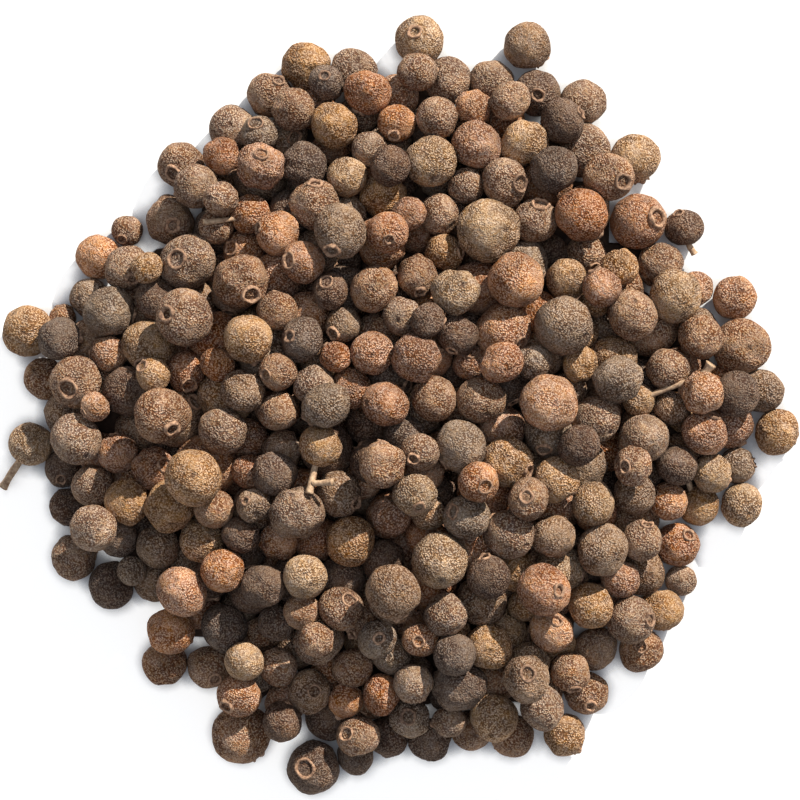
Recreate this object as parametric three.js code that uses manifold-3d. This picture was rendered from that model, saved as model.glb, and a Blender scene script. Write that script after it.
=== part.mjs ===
// A loose heap of whole allspice berries, lying as it was poured out on a flat surface.
// Millimetres, +Z up. The origin is on the surface, under the middle of the heap.
import * as THREE from 'three';
import { mergeVertices } from 'three/addons/utils/BufferGeometryUtils.js';
import Module from 'manifold-3d';

// the berries
const meanRadius = 3.25;
const radiusSpread = 0.7;

// the heap's form: as high as heapTop, and edgeTop one row in from its edge. It rises from
// there by meanSlope, less on the side that slopeTurn points to and more on the other
const heapTop = 20;
const edgeTop = 10;
const meanSlope = 0.5;
const slopeChange = 0.28;
const slopeTurn = [0.5, 0.866];
const heapRadius = 56;

// how the berries between the placed ones are dropped, rolled and shaken down
const seed = 7;
const drops = 900;
const picks = 4;
const givesUpAfter = 80;
const edgeGap = 0.6;
const bedDepth = 4.2;
const coverShare = 0.62;
const rollStep = 1.2;
const smallestRoll = 0.04;
const edgeSteps = 40;
const sink = 0.08;
const drawIn = 0.0006;
const spring = 0.15;
const shakes = 120;
const rounds = 3;

// the smaller berries that then close the gaps through which the surface would show
const gapRadius = 2.7;
const gapTries = 6000;
const gapRise = 2;
const gapCoverShare = 0.5;
const gapRounds = 2;

// the fused solid: faceted berries on a core that lies below their middles
const facetSwell = 1.12;
const coreDepth = 5.8;
const coreEdge = 2;
const coreRings = [1, 0.9, 0.6];
const leastShowing = 2.8;

// berries along the edge, in order round it: x, y, diameter
const edgeBerries = [
  [3, 49.5, 6.8], [6.5, 44.5, 6.5], [13, 44, 6.1], [18, 48.5, 6.4], [19.5, 43, 6.4], [24.5, 41.5, 6.5],
  [25.5, 34.5, 7.1], [32.5, 33.5, 6.8], [33.5, 24.5, 7.6], [39, 24, 5.4], [36.5, 18.5, 6.4], [41, 15.5, 5.3],
  [46, 13.5, 6.1], [47.5, 7.5, 7.6], [50, 1.5, 6.2], [52, -4, 6.1], [46, -3.5, 6.4], [47, -9, 5.1],
  [47, -14.5, 6.0], [42, -14.5, 5.7], [38.5, -20.5, 6.0], [38.5, -25.5, 4.3], [36.5, -29, 6.0], [33.5, -34, 6.1],
  [27.5, -34.5, 6.2], [26, -40.5, 6.1], [23, -46.5, 5.8], [15.5, -46.5, 6.0], [9.5, -46, 5.7], [4.5, -47, 6.0],
  [-1.5, -47, 5.7], [-6, -49.5, 5.1], [-12, -51, 7.1], [-10, -44, 6.4], [-16, -42, 6.0], [-22, -46.5, 7.9],
  [-26.5, -37, 6.2], [-32.5, -36.5, 6.1], [-34.5, -25, 5.8], [-40, -25.5, 6.4], [-45, -22, 6.0], [-46, -15, 5.3],
  [-47, -9.5, 5.0], [-51, -6, 6.1], [-49.5, 3, 5.7], [-51.5, 9.5, 6.9], [-47, 11.5, 3.7], [-43, 14.5, 5.6],
  [-42, 19.5, 6.2], [-38, 23.5, 4.3], [-32, 25, 6.7], [-30.5, 32.5, 6.4], [-23, 37.5, 6.5], [-18, 42.5, 6.4],
  [-13, 46.5, 6.4], [-6.5, 45.5, 6.4], [-0.5, 42, 6.4],
];

// berries that lie on top, quarter by quarter: x, y, diameter
const topBerries = [
  // back left
  [-16, 36.5, 6.0], [-9, 37.5, 6.6], [-19, 32, 6.3], [-27.5, 29.5, 6.1], [-13, 32, 6.3], [-7, 30.5, 5.5],
  [-3, 28, 6.1], [-1, 37.5, 5.2], [-29, 18.5, 7.5], [-37, 17.5, 6.3], [-21, 16, 7.1], [-29, 11, 7.3],
  [-40, 11, 6.9], [-40.5, 7, 4.9], [-44, 2.5, 6.9], [-33.5, 3.5, 4.6], [-28.5, 4, 5.4], [-20, 8, 6.6],
  [-16.5, 12, 5.1], [-8.5, 10.5, 5.2], [-16.5, 22.5, 6.2], [-11.5, 26, 6.5], [-8, 23, 7.0], [-3.5, 15, 6.0],
  [-9.5, 14.5, 5.0], [-2, 22.5, 5.7], [-4, 6, 5.9], [-16.5, 4, 5.1], [-21.5, 1, 5.8], [-11.5, 2.5, 5.4],
  [-20, 25, 5.5],
  // back right
  [10.5, 40, 5.2], [5, 38.5, 6.0], [4.5, 32.5, 6.7], [17, 35, 6.5], [28.5, 30.5, 6.8], [21, 31.5, 6.2],
  [14, 29.5, 6.4], [5.5, 25.5, 5.6], [18.5, 24, 6.0], [12.5, 23, 8.5], [24.5, 25.5, 7.1], [6, 20, 5.3],
  [2.5, 17, 5.8], [7.5, 14.5, 6.2], [15.5, 16.5, 7.5], [25.5, 19, 5.5], [22.5, 16, 5.7], [30, 18, 5.1],
  [38, 14, 7.2], [31.5, 11.5, 6.9], [22, 10, 7.9], [14, 9, 7.7], [2, 5.5, 6.2], [10, 4.5, 5.2],
  [18, 5.5, 4.8], [24, 5, 4.9], [29.5, 3, 6.5], [10.5, 0.5, 6.7], [20, -0.5, 7.4], [33, 0, 4.6],
  [41, 9, 6.2], [37, 4, 6.0],
  // front left, the lower ones first
  [-18.5, -25, 6.0], [-27, -19, 6.4], [-22, -18.5, 5.0], [-16.5, -19, 5.8], [-25, -15, 5.3], [-31, -14, 6.6],
  [-18.5, -32.5, 5.0], [-16.5, -30.5, 5.2], [-13.5, -29, 4.8], [-11.5, -32, 4.8], [-38.5, -18.5, 5.4], [-16, -44, 5.4],
  [-44, -5, 7.1], [-38.5, -7, 5.2], [-32, -2, 7.6], [-24, -4, 6.6], [-16.5, -6.5, 5.4], [-10, -1, 6.0],
  [-10.5, -6, 5.8], [-2, -8.5, 6.0], [-27.5, -10.5, 7.7], [-20.5, -10, 4.7], [-42, -11.5, 5.8], [-37.5, -14, 6.0],
  [-20, -15, 4.7], [-14, -15.5, 7.0], [-1, -15.5, 5.4], [-6.5, -19.5, 6.7], [-33.5, -20, 5.8], [-24, -22.5, 6.0],
  [-13, -24, 6.0], [-28.5, -25.5, 6.6], [-1, -25.5, 7.3], [-23.5, -31, 6.3], [-31.5, -31.5, 6.5], [-3, -32, 5.1],
  [-6.5, -36.5, 5.2], [-16.5, -36.5, 5.3], [-22, -40.5, 6.2], [-6, -46, 5.8], [-16.5, -1.5, 5.2], [-41.5, -17.5, 6.3],
  // front right
  [25.5, -2.5, 6.5], [33.5, -5.5, 6.8], [2.5, -7, 5.0], [14, -8.5, 7.0], [21.5, -11, 6.5], [37, -13.5, 5.6],
  [31.5, -8.5, 5.3], [31.5, -13, 5.7], [26, -14.5, 5.6], [3.5, -15.5, 4.8], [9.5, -15.5, 6.2], [14.5, -18, 6.5],
  [27.5, -20, 7.4], [33, -19, 5.5], [5.5, -21.5, 7.5], [19.5, -25.5, 7.4], [26, -28, 6.2], [6.5, -29, 5.9],
  [12, -33, 6.2], [3, -32.5, 4.9], [17, -37.5, 6.3], [12.5, -43, 6.3], [19.5, -42, 5.9],
];

// stalks still on a berry: the berry's place, and the stalk's ends from the berry's middle
const stalks = [
  { berry: [-51, -6], from: [-1.2, -1.8, -0.6], to: [-4.3, -6.3, -1.6], thick: 1.1 },
  { berry: [33, 0], from: [1.2, 0.4, 1.2], to: [8.6, 3.0, 3.4], thick: 0.9 },
  { berry: [33, 0], from: [8.2, 2.9, 3.2], to: [9.6, 4.9, 3.8], thick: 1.3 },
  { berry: [-10.5, -6], from: [-0.6, -1.8, 0.4], to: [-1.6, -6.4, 1.4], thick: 1.0 },
  { berry: [-10.5, -6], from: [-1.2, -5.0, 1.2], to: [1.6, -4.8, 2.2], thick: 0.9 },
  { berry: [36.5, -29], from: [-0.7, 1.9, 0.6], to: [-1.8, 5.2, 1.6], thick: 0.9 },
  { berry: [42, -14.5], from: [-1.2, 1.8, 0.8], to: [-2.6, 5.3, 2.6], thick: 0.9 },
  { berry: [39, 24], from: [0.4, -1.8, 0], to: [1.6, -3.6, -0.6], thick: 0.9 },
  { berry: [-20, 25], from: [-1.0, -0.6, 1.2], to: [-6.2, -1.4, 2.6], thick: 0.8 },
];
const stalkSides = 5;

let drawn = seed;
function draw() {
  drawn = (drawn * 48271) % 2147483647;
  return drawn / 2147483647;
}

const diagonal = Math.sqrt(0.5);
const compass = [
  [1, 0], [diagonal, diagonal], [0, 1], [-diagonal, diagonal],
  [-1, 0], [-diagonal, -diagonal], [0, -1], [diagonal, -diagonal],
];
const heap = [];
const outline = [];

// how deep a point lies inside the edge berries' outline, less than zero outside it
function depthInside(x, y) {
  let inside = false;
  let nearest = Infinity;
  let [ax, ay] = outline[outline.length - 1];
  for (const [bx, by] of outline) {
    if ((ay > y) !== (by > y) && x < (bx - ax) * (y - ay) / (by - ay) + ax) inside = !inside;
    const ex = bx - ax;
    const ey = by - ay;
    const along = Math.max(0, Math.min(1, ((x - ax) * ex + (y - ay) * ey) / (ex * ex + ey * ey)));
    const gapX = ax + along * ex - x;
    const gapY = ay + along * ey - y;
    nearest = Math.min(nearest, gapX * gapX + gapY * gapY);
    [ax, ay] = [bx, by];
  }
  return inside ? Math.sqrt(nearest) : -Math.sqrt(nearest);
}

// the height that the heap's berries stay under
function heapHeight(x, y, depth) {
  const turn = (slopeTurn[0] * x + slopeTurn[1] * y) / heapRadius;
  return Math.min(heapTop, edgeTop + (meanSlope - slopeChange * turn) * depth);
}

// the height of a berry's middle when it is let down at x, y on those near it
function restHeight(near, x, y, r) {
  let height = r;
  for (const other of near) {
    const reach = other.r + r;
    const dx = other.x - x;
    const dy = other.y - y;
    const left = reach * reach - dx * dx - dy * dy;
    if (left > 0) height = Math.max(height, other.z + Math.sqrt(left));
  }
  return height;
}

function berriesNear(x, y, reach) {
  return heap.filter((b) => Math.abs(b.x - x) < reach && Math.abs(b.y - y) < reach);
}

// lets a berry down at x, y and rolls it downhill until it lies in a hollow or on the surface
function rollDown(startX, startY, r) {
  let x = startX;
  let y = startY;
  let near = berriesNear(x, y, 9.5);
  let nearX = x;
  let nearY = y;
  let z = restHeight(near, x, y, r);
  let step = rollStep;
  while (step > smallestRoll && z > r) {
    if (Math.abs(x - nearX) > 1 || Math.abs(y - nearY) > 1) {
      near = berriesNear(x, y, 10.5);
      nearX = x;
      nearY = y;
    }
    let lowest = z;
    let lowestX = x;
    let lowestY = y;
    for (const [turnX, turnY] of compass) {
      const tryX = x + turnX * step;
      const tryY = y + turnY * step;
      const tryZ = restHeight(near, tryX, tryY, r);
      if (tryZ < lowest - 1e-9) {
        lowest = tryZ;
        lowestX = tryX;
        lowestY = tryY;
      }
    }
    if (lowest < z) {
      x = lowestX;
      y = lowestY;
      z = lowest;
    } else {
      step /= 2;
    }
  }
  return { x, y, z, r, hold: 0 };
}

// whether a berry would hide too much of a placed one
function hidesPlaced(berry, share) {
  for (const other of heap) {
    if (other.hold > 0 && berry.z > other.z) {
      const reach = (other.r + berry.r) * share;
      const dx = other.x - berry.x;
      const dy = other.y - berry.y;
      if (dx * dx + dy * dy < reach * reach) return true;
    }
  }
  return false;
}

// drops berries of drawn sizes, the deepest-lying of a few each time, up to the heap's height
function pourIn(below) {
  let failed = 0;
  for (let drop = 0; drop < drops; drop++) {
    const r = meanRadius + (draw() + draw() + draw() - 1.5) * radiusSpread;
    let best = null;
    let pick = 0;
    while (pick < picks) {
      const x = (draw() * 2 - 1) * heapRadius;
      const y = (draw() * 2 - 1) * heapRadius;
      if (depthInside(x, y) < edgeGap) continue;
      pick++;
      const berry = rollDown(x, y, r);
      const depth = depthInside(berry.x, berry.y);
      if (depth < edgeGap) continue;
      if (berry.z + r > heapHeight(berry.x, berry.y, depth) - below) continue;
      if (hidesPlaced(berry, coverShare)) continue;
      if (best === null || berry.z < best.z) best = berry;
    }
    if (best) {
      heap.push(best);
    } else {
      failed++;
      if (failed > givesUpAfter) break;
    }
  }
}

// lets smaller berries roll into the gaps that go down to the surface, if they stay over them
function closeGaps() {
  for (let go = 0; go < gapTries; go++) {
    const r = gapRadius + (draw() + draw() + draw() - 1.5) * radiusSpread;
    const x = (draw() * 2 - 1) * heapRadius;
    const y = (draw() * 2 - 1) * heapRadius;
    if (depthInside(x, y) < edgeGap) continue;
    if (restHeight(berriesNear(x, y, 5), x, y, 0) > 0) continue;
    const berry = rollDown(x, y, r);
    const depth = depthInside(berry.x, berry.y);
    if (depth < edgeGap) continue;
    if (berry.z + r > heapHeight(berry.x, berry.y, depth) + gapRise) continue;
    const goneX = berry.x - x;
    const goneY = berry.y - y;
    if (goneX * goneX + goneY * goneY > r * r) continue;
    if (hidesPlaced(berry, gapCoverShare)) continue;
    heap.push(berry);
  }
}

function touchingPairs() {
  const pairs = [];
  for (let i = 0; i < heap.length; i++) {
    const a = heap[i];
    for (let j = 0; j < i; j++) {
      const b = heap[j];
      if (a.hold === 2 && b.hold === 2) continue;
      const reach = a.r + b.r + 1.2;
      const dx = a.x - b.x;
      if (dx > reach || dx < -reach) continue;
      const dy = a.y - b.y;
      const dz = a.z - b.z;
      if (dx * dx + dy * dy + dz * dz < reach * reach) pairs.push([a, b, a.r + b.r]);
    }
  }
  return pairs;
}

// pushes two berries that overlap apart, half each, or all of it if one is an edge berry
function pushApart([a, b, reach]) {
  const dx = a.x - b.x;
  const dy = a.y - b.y;
  const dz = a.z - b.z;
  const square = dx * dx + dy * dy + dz * dz;
  if (square >= reach * reach) return;
  const apart = Math.sqrt(square);
  const push = (reach - apart) / apart;
  let shareA = 0.5;
  let shareB = 0.5;
  if (a.hold === 2) {
    shareA = 0;
    shareB = 1;
  } else if (b.hold === 2) {
    shareA = 1;
    shareB = 0;
  }
  if (a.hold < 2) {
    a.x += dx * push * shareA;
    a.y += dy * push * shareA;
    a.z += dz * push * shareA;
  }
  if (b.hold < 2) {
    b.x -= dx * push * shareB;
    b.y -= dy * push * shareB;
    b.z -= dz * push * shareB;
  }
}

// sinks the loose berries a little at a time, and pushes them off each other
function shakeDown(steps, fall, inward) {
  let pairs = [];
  for (let step = 0; step < steps; step++) {
    if (step % 10 === 0) pairs = touchingPairs();
    for (const b of heap) {
      if (b.hold === 2) continue;
      b.z -= fall;
      if (b.hold === 1) {
        b.x += spring * (b.homeX - b.x);
        b.y += spring * (b.homeY - b.y);
      } else {
        b.x -= inward * b.x;
        b.y -= inward * b.y;
      }
    }
    for (let sweep = 0; sweep < 3; sweep++) {
      pairs.forEach(pushApart);
      for (const b of heap) {
        if (b.z < b.r) b.z = b.r;
      }
    }
  }
}

// the edge berries lie on the surface, moved apart along it where two would run into each other
function layEdge() {
  for (const [x, y, diameter] of edgeBerries) {
    const r = diameter / 2;
    heap.push({ x, y, z: r, r, hold: 2, homeX: x, homeY: y });
  }
  for (let step = 0; step < edgeSteps; step++) {
    for (let i = 0; i < heap.length; i++) {
      for (let j = 0; j < i; j++) {
        const a = heap[i];
        const b = heap[j];
        const dx = a.x - b.x;
        const dy = a.y - b.y;
        const apart = Math.sqrt(dx * dx + dy * dy);
        const reach = 2 * Math.sqrt(a.r * b.r);
        if (apart >= reach) continue;
        const push = (reach - apart) / apart / 2;
        a.x += dx * push;
        a.y += dy * push;
        b.x -= dx * push;
        b.y -= dy * push;
      }
    }
  }
}

function pourHeap() {
  layEdge();
  outline.push(...heap.map((b) => [b.x, b.y]));
  outline.sort((a, b) => Math.atan2(a[1], a[0]) - Math.atan2(b[1], b[0]));
  pourIn(bedDepth);
  shakeDown(shakes / 2, sink, drawIn);
  for (const [x, y, diameter] of topBerries) {
    const r = diameter / 2;
    heap.push({ x, y, z: restHeight(heap, x, y, r), r, hold: 1, homeX: x, homeY: y });
  }
  shakeDown(shakes, sink, drawIn);
  for (let round = 0; round < rounds; round++) {
    pourIn(0);
    shakeDown(shakes, sink, drawIn);
  }
  for (let round = 0; round < gapRounds; round++) {
    closeGaps();
    shakeDown(shakes / 2, sink, drawIn);
  }
  shakeDown(12, 0, 0);
}

function toSolid(geometry) {
  const bare = geometry.clone();
  bare.deleteAttribute('normal');
  bare.deleteAttribute('uv');
  const merged = mergeVertices(bare, 1e-4);
  return new wasm.Manifold(new wasm.Mesh({
    numProp: 3,
    vertProperties: Float32Array.from(merged.attributes.position.array),
    triVerts: Uint32Array.from(merged.index.array),
  }));
}

function toGeometry(solid) {
  const mesh = solid.getMesh();
  const geometry = new THREE.BufferGeometry();
  geometry.setAttribute('position', new THREE.BufferAttribute(mesh.vertProperties, 3));
  geometry.setIndex(new THREE.BufferAttribute(mesh.triVerts, 1));
  geometry.computeVertexNormals();
  return geometry;
}

function coreHeight(x, y, depth) {
  return Math.min(heapHeight(x, y, depth) - coreDepth, coreEdge + depth);
}

// the heap without its top berries: rings of the outline, rising inward from a flat foot
function coreGeometry() {
  const count = outline.length;
  const points = outline.map(([x, y]) => [x, y, 0]);
  for (const share of coreRings) {
    for (const [edgeX, edgeY] of outline) {
      const x = edgeX * share;
      const y = edgeY * share;
      points.push([x, y, coreHeight(x, y, Math.max(0, depthInside(x, y)))]);
    }
  }
  points.push([0, 0, 0], [0, 0, coreHeight(0, 0, depthInside(0, 0))]);
  const foot = points.length - 2;
  const peak = points.length - 1;
  const lastRing = coreRings.length * count;
  const faces = [];
  for (let k = 0; k < count; k++) {
    const next = (k + 1) % count;
    faces.push(foot, next, k);
    for (let ring = 0; ring < lastRing; ring += count) {
      faces.push(ring + k, ring + next, ring + count + next);
      faces.push(ring + k, ring + count + next, ring + count + k);
    }
    faces.push(lastRing + k, lastRing + next, peak);
  }
  const geometry = new THREE.BufferGeometry();
  geometry.setAttribute('position', new THREE.Float32BufferAttribute(points.flat(), 3));
  geometry.setIndex(faces);
  return geometry;
}

// the way from a berry to the lower one that it lies closest on, or straight down
function wayToSupport(berry) {
  const way = new THREE.Vector3(0, 0, -1);
  let smallestGap = berry.z - berry.r;
  for (const other of berriesNear(berry.x, berry.y, 9.5)) {
    if (other.z >= berry.z) continue;
    const between = new THREE.Vector3(other.x - berry.x, other.y - berry.y, other.z - berry.z);
    const gap = between.length() - other.r - berry.r;
    if (gap < smallestGap) {
      smallestGap = gap;
      way.copy(between.normalize());
    }
  }
  return way;
}

// a berry with twenty sides, turned so that one of its corners fuses with what carries it
function berryGeometry(berry) {
  const geometry = new THREE.IcosahedronGeometry(berry.r * facetSwell, 0);
  const corner = new THREE.Vector3().fromBufferAttribute(geometry.attributes.position, 0).normalize();
  geometry.applyQuaternion(new THREE.Quaternion().setFromUnitVectors(corner, wayToSupport(berry)));
  geometry.translate(berry.x, berry.y, berry.z);
  return geometry;
}

// a tapering prism from its berry's skin to its broken end
function stalkGeometry({ berry, from, to, thick }) {
  const owner = heap.find((b) => b.homeX === berry[0] && b.homeY === berry[1]);
  const middle = new THREE.Vector3(owner.x, owner.y, owner.z);
  const start = new THREE.Vector3(...from).add(middle);
  const end = new THREE.Vector3(...to).add(middle);
  end.z = Math.max(end.z, thick / 2);
  const length = start.distanceTo(end);
  const geometry = new THREE.CylinderGeometry(thick / 2, thick / 2.4, length, stalkSides);
  geometry.translate(0, length / 2, 0);
  const up = new THREE.Vector3(0, 1, 0);
  geometry.applyQuaternion(new THREE.Quaternion().setFromUnitVectors(up, end.sub(start).normalize()));
  geometry.translate(start.x, start.y, start.z);
  return geometry;
}

// the largest closed body of a solid, without loose scraps and sealed hollows
function largestBody(solid) {
  return solid.decompose().reduce((a, b) => (b.volume() > a.volume() ? b : a));
}

function berryHeap() {
  let solid = toSolid(coreGeometry());
  for (const berry of heap) {
    const top = coreHeight(berry.x, berry.y, Math.max(0, depthInside(berry.x, berry.y)));
    if (berry.hold === 0 && berry.z + berry.r < top + leastShowing) continue;
    solid = solid.add(toSolid(berryGeometry(berry)));
  }
  for (const stalk of stalks) solid = solid.add(toSolid(stalkGeometry(stalk)));
  const room = new THREE.BoxGeometry(4 * heapRadius, 4 * heapRadius, 2 * heapTop);
  room.translate(0, 0, heapTop);
  const material = new THREE.MeshStandardMaterial({ color: 0x6d5645, roughness: 0.9, metalness: 0 });
  const mesh = new THREE.Mesh(toGeometry(largestBody(solid.intersect(toSolid(room)))), material);
  mesh.name = 'berry_heap';
  return mesh;
}

const wasm = await Module();
wasm.setup();
pourHeap();
const group = new THREE.Group();
group.add(berryHeap());
export default group;
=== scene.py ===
import math
import bpy
import numpy as np
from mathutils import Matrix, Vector


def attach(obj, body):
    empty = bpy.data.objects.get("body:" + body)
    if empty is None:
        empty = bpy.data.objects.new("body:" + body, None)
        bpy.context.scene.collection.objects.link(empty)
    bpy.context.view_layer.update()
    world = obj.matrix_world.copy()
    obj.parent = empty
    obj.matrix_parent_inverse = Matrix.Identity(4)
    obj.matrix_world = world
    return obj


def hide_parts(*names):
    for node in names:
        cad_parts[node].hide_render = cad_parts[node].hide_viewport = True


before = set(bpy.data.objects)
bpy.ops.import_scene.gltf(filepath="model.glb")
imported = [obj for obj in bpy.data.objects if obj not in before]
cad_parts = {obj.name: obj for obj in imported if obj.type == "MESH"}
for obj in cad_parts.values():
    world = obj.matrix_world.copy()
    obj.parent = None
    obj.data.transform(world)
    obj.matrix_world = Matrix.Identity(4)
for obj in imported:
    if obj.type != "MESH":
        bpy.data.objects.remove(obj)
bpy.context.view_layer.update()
mm = 0.001

# where the berries lie, in mm, poured by the same rule as the solid heap

# berries along the edge: x, y, diameter, skin, and where their calyx shows from the middle
edgeBerries = [
    (3, 49.5, 6.8, "tan", -0.9, 1.1), (6.5, 44.5, 6.5, "umber"), (13, 44, 6.1, "umber"),
    (18, 48.5, 6.4, "grey"), (19.5, 43, 6.4, "cocoa", 0, -0.7), (24.5, 41.5, 6.5, "umber"),
    (25.5, 34.5, 7.1, "umber"), (32.5, 33.5, 6.8, "tan"), (33.5, 24.5, 7.6, "chestnut", 2.5, 0.3),
    (39, 24, 5.4, "cocoa", -1, 2.2), (36.5, 18.5, 6.4, "umber"), (41, 15.5, 5.3, "russet"),
    (46, 13.5, 6.1, "russet"), (47.5, 7.5, 7.6, "umber"), (50, 1.5, 6.2, "grey"),
    (52, -4, 6.1, "tan"), (46, -3.5, 6.4, "chestnut"), (47, -9, 5.1, "grey", 2.4, 0.4),
    (47, -14.5, 6.0, "tan"), (42, -14.5, 5.7, "tan"), (38.5, -20.5, 6.0, "chestnut", 1.5, 1.4),
    (38.5, -25.5, 4.3, "umber"), (36.5, -29, 6.0, "tan"), (33.5, -34, 6.1, "umber", -0.2, 0.6),
    (27.5, -34.5, 6.2, "umber"), (26, -40.5, 6.1, "umber", 0.3, -1.8), (23, -46.5, 5.8, "tan"),
    (15.5, -46.5, 6.0, "umber"), (9.5, -46, 5.7, "umber"), (4.5, -47, 6.0, "cocoa"),
    (-1.5, -47, 5.7, "cocoa"), (-6, -49.5, 5.1, "cocoa"), (-12, -51, 7.1, "cocoa", -1.1, 0.3),
    (-10, -44, 6.4, "cocoa"), (-16, -42, 6.0, "chestnut"), (-22, -46.5, 7.9, "umber"),
    (-26.5, -37, 6.2, "umber", 1, -1.7), (-32.5, -36.5, 6.1, "umber"), (-34.5, -25, 5.8, "grey"),
    (-40, -25.5, 6.4, "cocoa"), (-45, -22, 6.0, "umber"), (-46, -15, 5.3, "cocoa"),
    (-47, -9.5, 5.0, "cocoa", 0, -1.4), (-51, -6, 6.1, "tan"), (-49.5, 3, 5.7, "umber"),
    (-51.5, 9.5, 6.9, "tan"), (-47, 11.5, 3.7, "umber"), (-43, 14.5, 5.6, "grey"),
    (-42, 19.5, 6.2, "russet"), (-38, 23.5, 4.3, "umber", -0.6, -1.3), (-32, 25, 6.7, "umber", 0.7, -1),
    (-30.5, 32.5, 6.4, "umber", -1, -1.5), (-23, 37.5, 6.5, "umber"), (-18, 42.5, 6.4, "umber", 1.3, 1.8),
    (-13, 46.5, 6.4, "tan"), (-6.5, 45.5, 6.4, "umber"), (-0.5, 42, 6.4, "russet"),
]

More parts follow.
